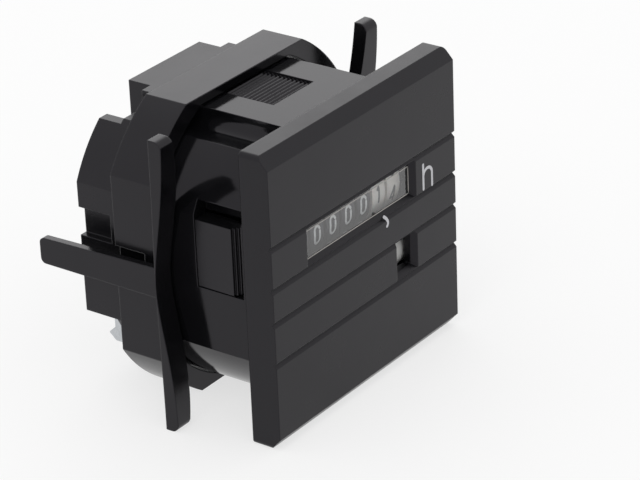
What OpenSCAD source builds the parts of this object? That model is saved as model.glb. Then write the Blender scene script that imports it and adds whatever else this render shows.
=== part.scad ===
// Panel hour meter with a square bezel, a round barrel and a ratchet clamp frame.
// X runs to the right seen from the front, Y from front to rear, Z up.
// The origin is the centre of the bezel's rear face, which seats on the panel.

/* [Bezel] */
// Side of the square front bezel
bezel_side = 48; // [46:0.5:52]
// Thickness of the bezel in front of the panel
bezel_depth = 5.1; // [4.6:0.1:6]
// Height of the sloped edge along the top and the bottom of the front
edge_drop = 2; // [1:0.1:3]
// How far that sloped edge falls back
edge_back = 1.8; // [1:0.1:2.4]
// Radius of the bezel's four corners, seen from the front
bezel_corner = 0.8; // [0.4:0.1:1.5]
// Distance of the inner pair of grooves from the middle
groove_inner = 2.75; // [2.2:0.05:3.2]
// Distance of the outer pair of grooves from the middle
groove_outer = 9.5; // [8.8:0.1:10.5]
// Width of a groove
groove_width = 1; // [0.6:0.1:1.4]
// Depth of a groove
groove_depth = 0.5; // [0.3:0.05:0.8]

/* [Barrel] */
// Radius of the barrel, which passes a round panel hole
barrel_radius = 25; // [24.6:0.1:25.6]
// Width across the barrel's four flats, which passes a square cut-out
barrel_across = 45; // [44:0.2:46]
// Length of the whole body behind the panel face
body_depth = 32.4; // [31.6:0.2:36]
// Wall of the barrel
barrel_wall = 1.6; // [1.2:0.1:2]
// Where the rear cover starts
cover_start = 24.8; // [24.6:0.1:25.6]
// Width of the rack channels in the top and the bottom flat
rack_width = 10.2; // [8:0.2:12]
// Front end of the racks
rack_start = 7.7; // [6:0.1:9]
// Pitch of the rack teeth
rack_pitch = 0.78; // [0.7:0.02:1]

/* [Windows] */
// Left end of the counter window in the front face
window_left = -15.3; // [-16.3:0.1:-15]
// Right end of the counter window in the front face
window_right = 13.2; // [12.8:0.1:14]
// Width of the running indicator window
sight_width = 5.7; // [4.5:0.1:6.2]
// Depth from the front face back to the lens
lens_depth = 1; // [0.6:0.1:1.3]
// Width of the sloped frame round the lens
reveal = 0.7; // [0.4:0.05:0.9]
// Thickness of the clear lens
lens_thick = 1.1; // [0.8:0.1:1.3]

/* [Counter] */
// Number of digit wheels
wheel_count = 7; // [5:1:7]
// Middle of the first digit wheel
first_wheel = -13.4; // [-13.8:0.1:-13]
// Distance from one digit wheel to the next
wheel_pitch = 4; // [3.9:0.05:4.1]
// Width of a digit wheel's rim
rim_width = 3.3; // [3:0.05:3.4]
// Outer radius of a digit wheel
wheel_radius = 7.4; // [7:0.1:7.6]
// Height of the digit wheels' axle
wheel_height = 5.65; // [5.2:0.05:6]
// Radius of that axle
axle_radius = 0.8; // [0.6:0.05:1]

/* [Gear train] */
// Module of the reduction gears
gear_module = 0.28; // [0.27:0.005:0.285]
// Thickness of a gear
gear_thick = 1; // [0.8:0.05:1.1]
// Radius of the studs that the gears turn on
stud_radius = 0.5; // [0.4:0.05:0.6]

/* [Motor] */
// Outer radius of the motor's steel cups
motor_radius = 11; // [10:0.1:11]
// Length of the motor
motor_length = 14; // [11:0.5:15]
// Radius of the rotor magnet
rotor_radius = 5; // [4:0.1:5.5]

/* [Clamp frame] */
// Outer radius of the clamp ring
ring_radius = 28; // [27.6:0.1:29]
// Width across the ring's flats
ring_across = 48; // [47.6:0.1:49]
// Front face of the ring
ring_start = 16; // [15.5:0.1:17]
// Width of the ring along the barrel
ring_width = 8.3; // [7:0.1:8.5]
// Height of a spring arm
arm_height = 48; // [44:0.5:50]
// How far an arm's tips stand out from its middle
arm_reach = 3; // [2:0.1:3.5]
// How far an arm's tips lean forward
arm_lean = 4.4; // [3:0.1:5]
// Length of a release lever behind its root
lever_length = 18.1; // [15:0.1:20]
// How far the tip of a release lever stands out
lever_reach = 3; // [2:0.1:4]

/* [Hidden] */
$fn = 96;
small_fn = 32;
cut = 1;
quarter = 90;
half_turn = 180;
full_turn = 360;

// Running, sliding and seating clearances
running_gap = 0.05;
seat_gap = 0.1;
slide_gap = 0.3;
mesh_gap = 0.02;

// Share of its pitch from a gear tooth's middle to its side, and of its module to its ends
root_share = 0.27;
tip_share = 0.11;
addendum_share = 0.85;
dedendum_share = 1.15;

// Barrel
flat = barrel_across / 2;
inner_flat = flat - barrel_wall;
inner_radius = barrel_radius - 2 * barrel_wall + slide_gap;
notch_wall = sqrt(barrel_radius ^ 2 - flat ^ 2);
notch_depth = 2.9;
notch_fillet = 2;
notch_floor = flat - notch_depth;
waist = notch_wall - barrel_wall;
shoulder = notch_floor - barrel_wall;
rack_depth = 1;
rack_land = 0.3;
rack_root = flat - rack_depth;
rack_tip = flat - rack_land;
rack_end = cover_start;
rack_teeth = floor((rack_end - rack_start) / rack_pitch);

// Rear cover
cover_wall = 1.5;
chamber_length = 4.2;
chamber_inner = 8.8;
chamber_outer = 14.4;
chamber_depth = 10.1;
chamber_step = 3.5;
chamber_start = body_depth - chamber_length;
chamber_floor = flat - chamber_depth;
chamber_ledge = flat - chamber_step;
corner_cut = 12;
catch_low = 2;
catch_high = 6.7;
catch_inset = 1.5;
catch_start = cover_start + catch_inset;
catch_depth = 1.3;
tongue_length = 2.4;
tongue_thick = 1.2;
tongue_half = 6.8;

// Side windows and the snap latches that show in them
latch_front = 3.3;
latch_rear = 9.9;
latch_low = -0.7;
latch_high = 10.2;
window_front = 1.5;
window_rear = 10.1;
window_low = -0.9;
window_high = 13;
latch_ribs = 3;
latch_rib = (latch_front - window_front) / (latch_ribs + 1);

// Front windows
window_low_z = groove_inner + groove_width / 4;
window_high_z = groove_outer - groove_width / 8;
sight_low_z = -groove_outer + groove_width / 2;
sight_high_z = -groove_inner + groove_width / 4;
sight_right = window_right;
sight_left = sight_right - sight_width;
lens_front = lens_depth - bezel_depth;
lens_back = lens_front + lens_thick;
lens_flange = 0.8;
lens_step = lens_thick / 2;

// Digit wheels
wheel_gap = 0.3;
wheel_y = lens_back + wheel_gap + wheel_radius;
rim_wall = 0.8;
web_thick = 0.6;
hub_radius = 1.6;
hub_gap = 0.04;
ring_gear_teeth = 20;
ring_gear_radius = 6;
ring_gear_module = 2 * ring_gear_radius / ring_gear_teeth;
transfer_teeth = 6;
transfer_radius = transfer_teeth * ring_gear_module / 2;
transfer_offset = ring_gear_radius - transfer_radius;
transfer_pin = 0.6;
tooth_pair = 2;
pair_turn = 225;
plate_thick = 0.4;
plate_radius = wheel_radius - rim_wall;
rail_width = 2.4;
rail_thick = 1.6;
rail_gap = 1.2;
last_wheel = first_wheel + (wheel_count - 1) * wheel_pitch;
plate_x = [for (i = [0 : wheel_count - 2]) first_wheel + (i + 1 / 2) * wheel_pitch];

// Reduction gears, from the rotor to the last digit wheel
pinion_teeth = 8;
gear_teeth = [60, 64, 32];
drive_teeth = 50;
sight_teeth = 20;
function mesh_distance(a, b) = (a + b) * gear_module / 2 + mesh_gap;
function along(from, to) = atan2(to[1] - from[1], to[0] - from[0]);
function meet(a, ra, b, rb, side) =
    let (d = norm(b - a), x = (ra ^ 2 - rb ^ 2 + d ^ 2) / (2 * d), h = sqrt(ra ^ 2 - x ^ 2), u = (b - a) / d)
    a + u * x + side * h * [-u[1], u[0]];
function mate(phase, teeth, way, other) =
    let (pitch = full_turn / teeth, turn = (way - phase) % pitch)
    way + half_turn + turn * teeth / other + full_turn / other / 2;
wheel_at = [wheel_y, wheel_height];
motor_back = 14.8;
motor_drop = 14.65;
motor_at = wheel_at + [motor_back, -motor_drop];
second_back = 13.2;
second_drop = 0.65;
second_at = wheel_at + [second_back, -second_drop];
third_at = meet(wheel_at, mesh_distance(pinion_teeth, drive_teeth), second_at,
    mesh_distance(pinion_teeth, gear_teeth[2]), 1);
first_at = meet(second_at, mesh_distance(pinion_teeth, gear_teeth[1]), motor_at,
    mesh_distance(pinion_teeth, gear_teeth[0]), -1);
sight_back = 4.5;
sight_drop = 0.75;
sight_target = [lens_back + sight_back, (sight_low_z + sight_high_z) / 2 - sight_drop];
sight_at = first_at + mesh_distance(gear_teeth[0], sight_teeth)
    * (sight_target - first_at) / norm(sight_target - first_at);
sight_gap = 0.5;
sight_radius = sight_at[0] - lens_back - sight_gap;
gear_space = 0.4;
gear_step = gear_thick + gear_space;
drive_x = last_wheel + rim_width / 2;
third_x = drive_x + gear_step;
second_x = third_x + gear_step;
first_x = second_x + gear_step;
gear_lap = 0.05;
first_phase = mate(0, pinion_teeth, along(motor_at, first_at), gear_teeth[0]);
second_phase = mate(0, pinion_teeth, along(first_at, second_at), gear_teeth[1]);
third_phase = mate(0, pinion_teeth, along(second_at, third_at), gear_teeth[2]);
drive_phase = mate(0, pinion_teeth, along(third_at, wheel_at), drive_teeth);
sight_phase = mate(first_phase, gear_teeth[0], along(first_at, sight_at), sight_teeth);

// Counter frame
cheek_thick = 1.2;
cheek_space = 0.7;
right_cheek = first_x + gear_thick + gear_lap + cheek_space;
left_cheek = -right_cheek - cheek_thick;
cheek_front = 1;
cheek_reach = 3;
cheek_rear = cover_start + cheek_reach;
cheek_high = notch_wall - cover_wall - slide_gap;
motor_shift = 2.2;
motor_plate = motor_length / 2 + motor_shift;
bar_height = 2.4;
bar_depth = 3;
bar_rear = cheek_rear - 2 * bar_depth;

// Motor
motor_left = motor_plate - motor_length - seat_gap;
cup_wall = 0.8;
shaft_radius = 0.75;
pole_count = 12;
pole_width = 1.2;
pole_thick = 0.7;
bobbin_wall = 0.7;
winding_cover = 0.6;
bobbin_inner = rotor_radius + slide_gap + pole_thick + seat_gap;
bobbin_outer = motor_radius - cup_wall - seat_gap;
bobbin_start = motor_left + cup_wall + seat_gap;
bobbin_length = motor_length - 2 * (cup_wall + seat_gap);

// Terminals
strip_thick = 0.8;
strip_width = 5;
blade_width = 4.8;
blade_reach = 0.8;
blade_lift = 4.1;
blade_tip = body_depth + blade_reach;
blade_low = blade_lift - flat;
strip_inner = chamber_outer - seat_gap - strip_thick;
strip_front = chamber_start + seat_gap;
strip_back = body_depth - cover_wall - seat_gap - slide_gap;
screw_head = 1.9;
screw_head_height = 1.6;
slot_width = 0.7;

// Clamp frame
ring_gap = 0.3;
ring_bore = barrel_radius + ring_gap;
ring_bore_flat = flat + ring_gap;
ring_flat = ring_across / 2;
ring_end = ring_start + ring_width;
pawl_gap = 0.6;
pawl_inset = 2.2;
pawl_width = rack_width - 2 * pawl_gap;
pawl_teeth = 4;
pawl_start = ring_start + pawl_inset;
arm_thick = 2.3;
arm_root = ring_flat - ring_bore_flat;
arm_tip = 3;
arm_steps = 12;
lever_inset = 2.6;
lever_root = ring_start + lever_inset;
lever_half = 1.4;
lever_root_half = 2.5;
lever_thick = 1.2;
slot_half = 3.5;

// Extrusions of a drawing made in X and Z along Y, and of one made in Y and Z along X
module along_y(start, length) {
    translate([0, start + length, 0]) rotate([quarter, 0, 0]) linear_extrude(length) children();
}

module along_x(start, length) {
    translate([start, 0, 0]) rotate([quarter, 0, quarter]) linear_extrude(length) children();
}

module rod_x(start, length, at, radius) {
    translate([start, at[0], at[1]]) rotate([0, quarter, 0]) cylinder(length, radius, radius);
}

module both_sides() {
    children();
    mirror([1, 0, 0]) children();
}

module above_and_below() {
    children();
    mirror([0, 0, 1]) children();
}

module box(low, high) {
    translate(low) cube(high - low);
}

module rounded_square(side, radius) {
    square([side, side - 2 * radius], center = true);
    square([side - 2 * radius, side], center = true);
    for (x = [-1, 1], z = [-1, 1])
        translate([x, z] * (side / 2 - radius)) circle(radius, $fn = small_fn);
}

module flatted_circle(radius, half_flat) {
    intersection() {
        circle(radius);
        square(2 * half_flat, center = true);
    }
}

// A spur gear drawn round its own centre, with teeth a little thin so that it runs free
function tooth_ring(teeth, module_mm, phase, grow) = [
    for (i = [0 : teeth - 1], corner = [0 : 3])
        let (pitch = full_turn / teeth,
            high = corner == 1 || corner == 2,
            lean = (high ? tip_share : root_share) * (corner < 2 ? -1 : 1),
            radius = teeth * module_mm / 2 + module_mm * (high ? addendum_share : -dedendum_share) + grow)
        radius * [cos(phase + (i + lean) * pitch), sin(phase + (i + lean) * pitch)]];

module spur_gear(x, length, at, teeth, phase) {
    translate([0, at[0], at[1]])
        along_x(x, length) polygon(tooth_ring(teeth, gear_module, phase, 0));
}

// Front housing: the bezel, the barrel and its racks are one moulding
module bezel_side_view() {
    half = bezel_side / 2;
    slope = half - edge_drop;
    notch = groove_width / 2;
    front = -bezel_depth;
    grooves = [for (z = [groove_outer, groove_inner, -groove_inner, -groove_outer])
        each [[front, z + notch], [front + groove_depth, z], [front, z - notch]]];
    polygon(concat([[0, half], [front + edge_back, half], [front, slope]], grooves,
        [[front, -slope], [front + edge_back, -half], [0, -half]]));
}

module inner_profile() {
    intersection() {
        circle(inner_radius);
        union() {
            square(2 * [inner_flat, shoulder], center = true);
            square(2 * [waist, inner_flat], center = true);
        }
    }
}

module corner_notch() {
    reach = 2 * notch_depth;
    difference() {
        translate([notch_wall, notch_floor]) square([barrel_radius, reach]);
        difference() {
            translate([notch_wall, notch_floor]) square(notch_fillet);
            translate([notch_wall, notch_floor] + [1, 1] * notch_fillet) circle(notch_fillet, $fn = small_fn);
        }
    }
}

module barrel_profile() {
    difference() {
        flatted_circle(barrel_radius, flat);
        for (x = [0, 1], z = [0, 1]) mirror([x, 0]) mirror([0, z]) corner_notch();
    }
}

module rack_channel() {
    teeth = [for (i = [0 : rack_teeth - 1])
        each [[rack_start + i * rack_pitch, rack_root], [rack_start + (i + 1) * rack_pitch, rack_tip]]];
    finish = [[rack_start + rack_teeth * rack_pitch, rack_root], [rack_end + cut, rack_root]];
    along_x(-rack_width / 2, rack_width)
        polygon(concat([[rack_start, flat + cut]], teeth, finish, [[rack_end + cut, flat + cut]]));
}

// A window with sloped sides, from its size in the front face to the size of the lens
module sloped_window(left, right, low, high) {
    depth = lens_depth;
    front = -bezel_depth;
    slope_cut = cut * reveal / depth;
    intersection() {
        along_x(left - slope_cut, right - left + 2 * slope_cut)
            polygon([[front - cut, low - slope_cut], [front + depth, low + reveal],
                [front + depth, high - reveal], [front - cut, high + slope_cut]]);
        translate([0, 0, low - cut])
            linear_extrude(high - low + 2 * cut)
                polygon([[left - slope_cut, front - cut], [right + slope_cut, front - cut],
                    [right - reveal, front + depth], [left + reveal, front + depth]]);
    }
    box([left + reveal, front + depth - seat_gap, low + reveal], [right - reveal, cut, high - reveal]);
}

module lens_seat(grow) {
    box([window_left + reveal - lens_flange - grow, lens_front + lens_step - grow,
            window_low_z + reveal - lens_flange - grow],
        [window_right - reveal + lens_flange + grow, lens_back, window_high_z - reveal + lens_flange + grow]);
}

module front_housing() {
    color("#202124") difference() {
        union() {
            intersection() {
                along_x(-bezel_side / 2, bezel_side) bezel_side_view();
                along_y(-bezel_depth, bezel_depth) rounded_square(bezel_side, bezel_corner);
            }
            along_y(0, cover_start) barrel_profile();
        }
        along_y(lens_back, cover_start + cut - lens_back) inner_profile();
        sloped_window(window_left, window_right, window_low_z, window_high_z);
        sloped_window(sight_left, sight_right, sight_low_z, sight_high_z);
        lens_seat(seat_gap);
        above_and_below() rack_channel();
        both_sides() box([-flat - cut, window_front, window_low], [left_cheek, window_rear, window_high]);
    }
}

module window_lens() {
    color([0.85, 0.88, 0.9, 0.35]) {
        lens_seat(0);
        box([window_left + reveal + seat_gap, lens_front, window_low_z + reveal + seat_gap],
            [window_right - reveal - seat_gap, lens_front + lens_step, window_high_z - reveal - seat_gap]);
    }
}

// Digit wheel with an internal gear on its right and a pair of driving teeth on its left
module wheel_web() {
    rod_x(-web_thick / 2, web_thick, [0, 0], wheel_radius - rim_wall / 2);
    rod_x(-rim_width / 2, rim_width, [0, 0], hub_radius);
}

module ring_teeth(x, length) {
    along_x(x, length) difference() {
        circle(wheel_radius - rim_wall / 2);
        polygon(tooth_ring(ring_gear_teeth, ring_gear_module, quarter, seat_gap));
    }
}

module driving_pair() {
    reach = ring_gear_radius - ring_gear_module * addendum_share;
    width = ring_gear_module;
    for (i = [0 : tooth_pair - 1])
        rotate([pair_turn + (i - 1 / 2) * full_turn / ring_gear_teeth, 0, 0])
            box([-rim_width / 2 + seat_gap, reach, -width / 2],
                [-web_thick / 2 + mesh_gap, wheel_radius - rim_wall / 2, width / 2]);
}

module number_wheel(index) {
    white = index > wheel_count - 2;
    color(white ? "#e8e8e4" : "#26262a")
    translate([first_wheel + (index - 1) * wheel_pitch, wheel_y, wheel_height]) difference() {
        union() {
            difference() {
                rod_x(-rim_width / 2, rim_width, [0, 0], wheel_radius);
                rod_x(-rim_width / 2 - cut, rim_width + 2 * cut, [0, 0], wheel_radius - rim_wall);
            }
            wheel_web();
            if (index > 1) driving_pair();
            if (index < wheel_count) ring_teeth(web_thick / 2, (rim_width - web_thick) / 2 - seat_gap);
        }
        rod_x(-rim_width, 2 * rim_width, [0, 0], axle_radius + hub_gap);
    }
}

module wheel_axle() {
    color("#b9bcc0") rod_x(left_cheek, right_cheek - left_cheek + cheek_thick, wheel_at, axle_radius);
}

// Fixed plate between two wheels, which carries the transfer pinion inside their rims
module transfer_plate(index) {
    x = plate_x[index - 1] - plate_thick / 2;
    color("#c8c9c4") translate([0, wheel_y, wheel_height]) difference() {
        union() {
            rod_x(x, plate_thick, [0, 0], plate_radius);
            box([x, 0, -rail_width / 2], [x + plate_thick, wheel_radius + rail_gap, rail_width / 2]);
        }
        rod_x(x - cut, plate_thick + 2 * cut, [0, 0], axle_radius + seat_gap);
        rod_x(x - cut, plate_thick + 2 * cut, [0, transfer_offset], transfer_pin + running_gap);
    }
}

module transfer_pinion(index) {
    reach = plate_thick / 2 + (wheel_pitch - rim_width - plate_thick) / 2 + rim_width / 4;
    inner = plate_thick / 2 + seat_gap;
    color("#d9c38a") translate([plate_x[index - 1], wheel_y, wheel_height]) {
        for (side = [0, 1]) mirror([side, 0, 0]) translate([0, 0, transfer_offset])
            along_x(inner, reach - inner)
                polygon(tooth_ring(transfer_teeth, ring_gear_module, quarter, -2 * mesh_gap));
        rod_x(-inner, 2 * inner, [0, transfer_offset], transfer_pin);
    }
}

module pinion_rail() {
    front = wheel_y + wheel_radius + rail_gap;
    color("#8b8f94")
        box([left_cheek + cheek_thick, front, wheel_height - rail_width / 2],
            [motor_plate, front + rail_thick, wheel_height + rail_width / 2]);
}

// Reduction gears
module compound_gear(at, teeth, phase, gear_x) {
    difference() {
        union() {
            spur_gear(gear_x, gear_thick, at, teeth, phase);
            spur_gear(gear_x - gear_step + gear_lap, gear_step - gear_lap, at, pinion_teeth, 0);
        }
        rod_x(gear_x - 2 * gear_step, 4 * gear_step, at, stud_radius + running_gap);
    }
}

module reduction_gear_1() {
    color("#e6e1d2") compound_gear(first_at, gear_teeth[0], first_phase, first_x);
}

module reduction_gear_2() {
    color("#e6e1d2") compound_gear(second_at, gear_teeth[1], second_phase, second_x);
}

module reduction_gear_3() {
    color("#e6e1d2") compound_gear(third_at, gear_teeth[2], third_phase, third_x);
}

module drive_gear() {
    color("#e6e1d2") difference() {
        spur_gear(drive_x, gear_thick, wheel_at, drive_teeth, drive_phase);
        rod_x(drive_x - cut, gear_thick + 2 * cut, wheel_at, axle_radius + hub_gap);
    }
}

module gear_studs() {
    color("#b9bcc0") {
        for (at = [first_at, second_at])
            rod_x(motor_plate, right_cheek + cheek_thick - motor_plate, at, stud_radius);
        rod_x(motor_plate, third_x + gear_thick + gear_lap - motor_plate, third_at, stud_radius);
    }
}

module running_indicator() {
    color("#f0f0ee") {
        rod_x(sight_left - reveal, sight_width + 2 * reveal, sight_at, sight_radius);
        rod_x(sight_left - 2 * reveal, right_cheek + cheek_thick - sight_left + 2 * reveal, sight_at, stud_radius);
        spur_gear(first_x, gear_thick, sight_at, sight_teeth, sight_phase);
    }
}

// Counter frame: two cheeks, a motor plate, cross bars and the side latches
module cheek(x) {
    box([x, cheek_front, -cheek_high], [x + cheek_thick, cheek_rear, cheek_high]);
}

module latch() {
    box([-flat, latch_front, latch_low], [-inner_flat + seat_gap, latch_rear, latch_high]);
    for (i = [0 : latch_ribs - 1])
        box([-flat + (i + 1) * barrel_wall / (latch_ribs + 1), latch_front - (i + 1) * latch_rib, latch_low],
            [-inner_flat + seat_gap, latch_front - i * latch_rib, latch_high]);
    box([-inner_flat + seat_gap / 2, latch_front - latch_ribs * latch_rib, latch_low],
        [left_cheek, latch_rear, latch_high]);
}

module counter_frame() {
    low = -cheek_high;
    color("#3a3b3e") difference() {
        union() {
            cheek(left_cheek);
            cheek(right_cheek);
            latch();
            mirror([1, 0, 0]) translate([left_cheek + right_cheek + cheek_thick, 0, 0]) latch();
            // the plate between the motor and the gears
            box([motor_plate, wheel_y + wheel_radius + seat_gap, -shoulder + seat_gap],
                [motor_plate + gear_thick, cheek_rear, cheek_high]);
            box([left_cheek, bar_rear - bar_depth, cheek_high - bar_height], [motor_plate, bar_rear, cheek_high]);
            box([motor_plate, cheek_rear - bar_depth, low], [right_cheek, cheek_rear, low + bar_height]);
        }
        rod_x(left_cheek - cut, right_cheek - left_cheek + 4 * cut, wheel_at, axle_radius);
        for (at = [first_at, second_at])
            rod_x(motor_plate - cut, right_cheek - motor_plate + 4 * cut, at, stud_radius);
        rod_x(motor_plate - cut, 3 * cut, third_at, stud_radius);
        rod_x(motor_plate - cut, right_cheek - motor_plate + 4 * cut, motor_at, shaft_radius + running_gap);
        rod_x(right_cheek - cut, 4 * cut, sight_at, stud_radius + running_gap);
    }
}

// Synchronous motor: two claw pole cups round a coil and a magnet rotor
module stator_cup(x, turn) {
    length = motor_length / 2 - seat_gap / 2;
    inner = rotor_radius + slide_gap;
    translate([x, motor_at[0], motor_at[1]]) rotate([turn, 0, 0]) {
        difference() {
            rod_x(0, length, [0, 0], motor_radius);
            rod_x(cup_wall, length, [0, 0], motor_radius - cup_wall);
            rod_x(-cut, 3 * cut, [0, 0], shaft_radius + running_gap);
        }
        for (i = [0 : pole_count / 2 - 1])
            rotate([i * 2 * full_turn / pole_count, 0, 0])
                box([cup_wall / 2, inner, -pole_width / 2],
                    [length - seat_gap, inner + pole_thick, pole_width / 2]);
    }
}

module stator_cup_left() {
    color("#9a9da1") stator_cup(motor_left, 0);
}

module stator_cup_right() {
    color("#9a9da1") translate([2 * motor_left + motor_length, 0, 0]) mirror([1, 0, 0])
        stator_cup(motor_left, full_turn / pole_count);
}

module coil_bobbin() {
    core = bobbin_inner + bobbin_wall;
    color("#d8d4c4") difference() {
        union() {
            rod_x(bobbin_start, bobbin_length, motor_at, core);
            for (x = [bobbin_start, bobbin_start + bobbin_length - bobbin_wall])
                rod_x(x, bobbin_wall, motor_at, bobbin_outer);
        }
        rod_x(bobbin_start - cut, bobbin_length + 2 * cut, motor_at, bobbin_inner);
    }
}

module coil_winding() {
    color("#b4652e") difference() {
        rod_x(bobbin_start + bobbin_wall, bobbin_length - 2 * bobbin_wall, motor_at, bobbin_outer - winding_cover);
        rod_x(motor_left, motor_length, motor_at, bobbin_inner + bobbin_wall);
    }
}

module rotor_magnet() {
    color("#4b4745") difference() {
        rod_x(motor_left + 2 * cup_wall, motor_length - 4 * cup_wall, motor_at, rotor_radius);
        rod_x(motor_left, motor_length, motor_at, shaft_radius);
    }
}

module rotor_shaft() {
    color("#c3c6ca") {
        rod_x(motor_left, right_cheek + cheek_thick - motor_left, motor_at, shaft_radius);
        spur_gear(first_x - gear_lap, gear_thick + 2 * gear_lap, motor_at, pinion_teeth, 0);
    }
}

// Rear cover with terminal chambers in its upper corners and cut lower corners
module cover_profile() {
    difference() {
        barrel_profile();
        both_sides() translate([corner_cut, -2 * flat]) square([flat, 2 * flat - notch_wall]);
    }
}

module cover_hollow() {
    lower = corner_cut - cover_wall;
    intersection() {
        circle(inner_radius);
        union() {
            square(2 * [inner_flat, notch_wall - cover_wall], center = true);
            translate([-lower, -inner_flat]) square([2 * lower, inner_flat]);
            children();
        }
    }
}

// The hollow is full height in front of the terminal chambers and steps round them behind
module front_hollow() {
    translate([-inner_flat, 0]) square([2 * inner_flat, shoulder]);
    translate([-waist, 0]) square([2 * waist, inner_flat]);
}

module rear_hollow() {
    translate([-inner_flat, 0]) square([2 * inner_flat, chamber_floor - cover_wall]);
    translate([cover_wall - chamber_inner, 0]) square([2 * (chamber_inner - cover_wall), inner_flat]);
}

module chamber() {
    top = flat + cut;
    box([chamber_inner, chamber_start, chamber_floor], [chamber_outer, body_depth + cut, top]);
    box([chamber_inner, chamber_start, chamber_ledge], [barrel_radius, body_depth + cut, top]);
}

module rear_cover() {
    color("#26272a") {
        difference() {
            union() {
                along_y(cover_start, cover_wall) barrel_profile();
                along_y(cover_start, body_depth - cover_start) cover_profile();
            }
            along_y(cover_start - cut, chamber_start - cover_wall - cover_start + cut)
                cover_hollow() front_hollow();
            along_y(cover_start - cut, body_depth - cover_wall - cover_start + cut) cover_hollow() rear_hollow();
            both_sides() chamber();
            both_sides() box([-flat - cut, catch_start, catch_low], [catch_depth - flat, body_depth + cut, catch_high]);
            both_sides() box([strip_inner - seat_gap, strip_front - seat_gap, -notch_wall - cut],
                [strip_inner + strip_thick + seat_gap, strip_back + seat_gap, chamber_floor + cut]);
        }
        tongues();
    }
}

// Tongues that reach into the barrel and hold the cover in line
module tongues() {
    outer = inner_flat - seat_gap;
    root = inner_flat + cover_wall / 2;
    start = cover_start - tongue_length;
    end = cover_start + cover_wall;
    both_sides() {
        box([outer - tongue_thick, start, -tongue_half], [outer, end, tongue_half]);
        box([outer - tongue_thick, cover_start, -tongue_half], [root, end, tongue_half]);
    }
    box([-tongue_half, start, outer - tongue_thick], [tongue_half, end, outer]);
    box([-tongue_half, cover_start, outer - tongue_thick], [tongue_half, end, root]);
}

// Terminal: a bent strip with a clamp plate under the screw and a blade in the open lower corner
module terminal() {
    strip_outer = strip_inner + strip_thick;
    plate_high = chamber_floor + seat_gap + strip_thick;
    box([strip_outer - strip_width, strip_front, chamber_floor + seat_gap],
        [strip_outer, body_depth - seat_gap, plate_high]);
    box([strip_inner, strip_front, blade_low], [strip_outer, strip_back, plate_high]);
    box([strip_inner, strip_front, blade_low], [strip_outer, blade_tip, blade_low + blade_width]);
}

module terminal_left() {
    color("#c9b57c") mirror([1, 0, 0]) terminal();
}

module terminal_right() {
    color("#c9b57c") terminal();
}

module terminal_screws() {
    x = (chamber_inner + chamber_outer) / 2;
    y = (chamber_start + body_depth) / 2;
    base = chamber_floor + strip_thick + 2 * seat_gap;
    color("#c3c6ca") both_sides() translate([x, y, base]) difference() {
        cylinder(screw_head_height, screw_head, screw_head, $fn = small_fn);
        translate([-screw_head - cut, -slot_width / 2, screw_head_height / 2])
            cube([2 * (screw_head + cut), slot_width, screw_head_height]);
    }
}

// Clamp frame: ring, spring arms, release levers and pawls are one moulding
function arm_middle(z) = let (share = 2 * abs(z) / arm_height) share ^ 2;

module ring() {
    along_y(ring_start, ring_width) difference() {
        flatted_circle(ring_radius, ring_flat);
        flatted_circle(ring_bore, ring_bore_flat);
    }
}

module spring_arm() {
    half = arm_height / 2;
    levels = [for (i = [-arm_steps : arm_steps]) half * i / arm_steps];
    outer = [for (z = levels) [ring_flat + arm_reach * arm_middle(z), z]];
    inner = [for (z = levels) [ring_flat - arm_root + (arm_reach - arm_tip + arm_root) * arm_middle(z), z]];
    back = [for (z = levels) [ring_start + arm_thick - arm_lean * arm_middle(z), z]];
    front = [for (p = back) p - [arm_thick, 0]];
    intersection() {
        along_y(ring_start - arm_lean - cut, arm_lean + arm_thick + 2 * cut)
            polygon(concat(outer, [for (i = [len(inner) - 1 : -1 : 0]) inner[i]]));
        along_x(0, ring_flat + arm_reach + cut)
            polygon(concat(back, [for (i = [len(front) - 1 : -1 : 0]) front[i]]));
    }
}

module lever_outline() {
    end = lever_root + lever_length;
    polygon([[lever_root, -lever_root_half], [end, -lever_half], [end, lever_half], [lever_root, lever_root_half]]);
}

module lever() {
    end = lever_root + lever_length;
    intersection() {
        along_x(0, ring_flat + lever_reach + cut) lever_outline();
        linear_extrude(2 * slot_half, center = true)
            polygon([[ring_flat - lever_thick, lever_root], [ring_flat, lever_root],
                [ring_flat + lever_reach, end], [ring_flat + lever_reach - lever_thick, end]]);
    }
}

module lever_slot() {
    box([ring_bore_flat - cut, lever_root, -slot_half], [ring_flat + cut, ring_end + cut, slot_half]);
}

module pawl() {
    high = ring_bore_flat + seat_gap;
    root = ring_bore_flat - seat_gap;
    deep = rack_tip + seat_gap;
    phase = rack_start + ceil((pawl_start - rack_start) / rack_pitch) * rack_pitch;
    teeth = [for (i = [0 : pawl_teeth - 1])
        each [[phase + i * rack_pitch, deep], [phase + (i + 1) * rack_pitch, root]]];
    along_x(-pawl_width / 2, pawl_width)
        polygon(concat([[phase, high]], teeth, [[phase + pawl_teeth * rack_pitch, high]]));
}

module clamp_frame() {
    color("#2b2c2f") {
        difference() {
            ring();
            both_sides() lever_slot();
        }
        both_sides() lever();
        both_sides() spring_arm();
        above_and_below() pawl();
    }
}

front_housing();
window_lens();
counter_frame();
wheel_axle();
pinion_rail();
for (i = [1 : wheel_count])
    number_wheel(i);
for (i = [1 : wheel_count - 1])
    transfer_plate(i);
for (i = [1 : wheel_count - 1])
    transfer_pinion(i);
drive_gear();
reduction_gear_1();
reduction_gear_2();
reduction_gear_3();
gear_studs();
running_indicator();
rotor_magnet();
rotor_shaft();
stator_cup_left();
stator_cup_right();
coil_bobbin();
coil_winding();
rear_cover();
terminal_left();
terminal_right();
terminal_screws();
clamp_frame();
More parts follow.
